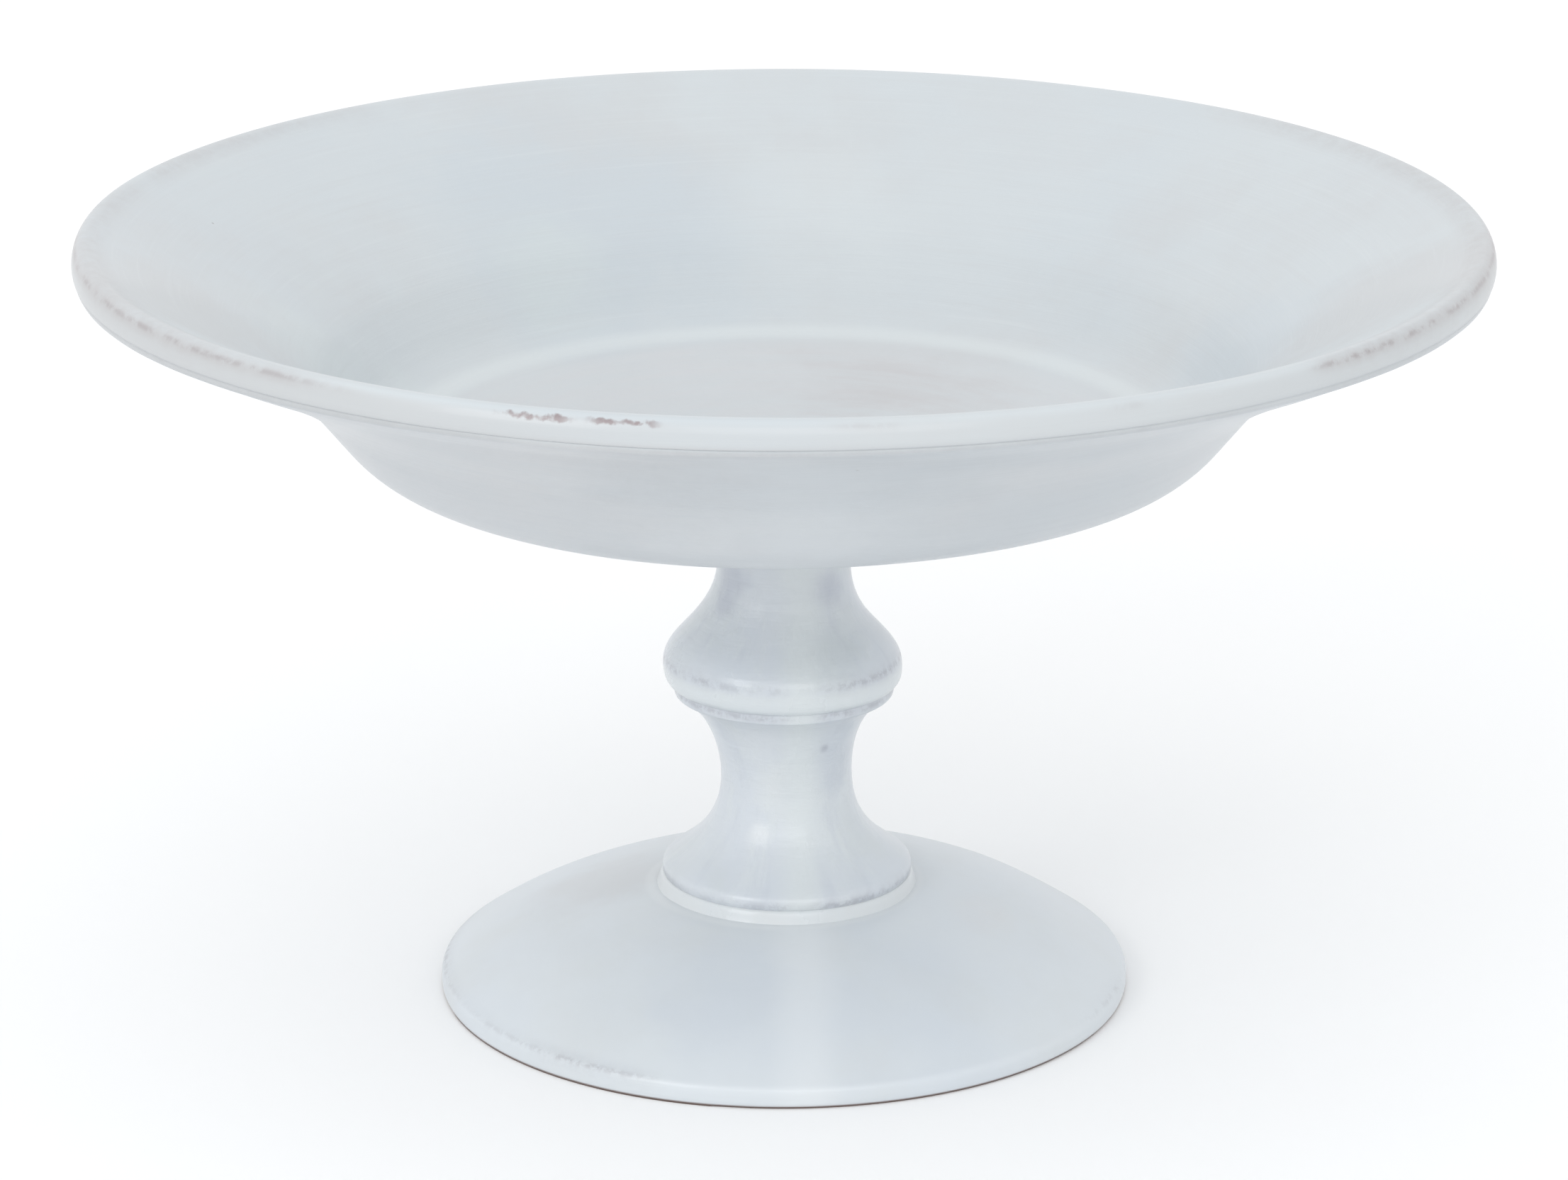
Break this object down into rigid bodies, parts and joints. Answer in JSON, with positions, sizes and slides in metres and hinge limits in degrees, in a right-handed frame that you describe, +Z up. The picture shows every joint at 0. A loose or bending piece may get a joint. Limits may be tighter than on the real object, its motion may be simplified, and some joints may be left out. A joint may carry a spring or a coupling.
{
  "type": "cake stand",
  "caption": "Footed earthenware cake stand with a wide flared bowl, level well, thick square-cut lip, turned knop stem and hollow foot, under a milky satin glaze.",
  "frame": {"origin": "middle of the foot ring on the table plane", "axes": "+Z up along the wheel axis, X and Y level; -Y faces the viewer of the main view"},
  "size_m": [0.31, 0.31, 0.1765],
  "materials": {
    "glazed_clay": "satin milky glaze over brown clay",
    "slip_joint": "pale fired slip under the same glaze"
  },
  "bodies": {
    "root": {"bowl": "glazed_clay", "bowl_joint_slip": "slip_joint", "knop": "glazed_clay", "stem_joint_slip": "slip_joint", "lower_stem": "glazed_clay", "foot_joint_slip": "slip_joint", "foot": "glazed_clay"}
  },
  "joints": []
}
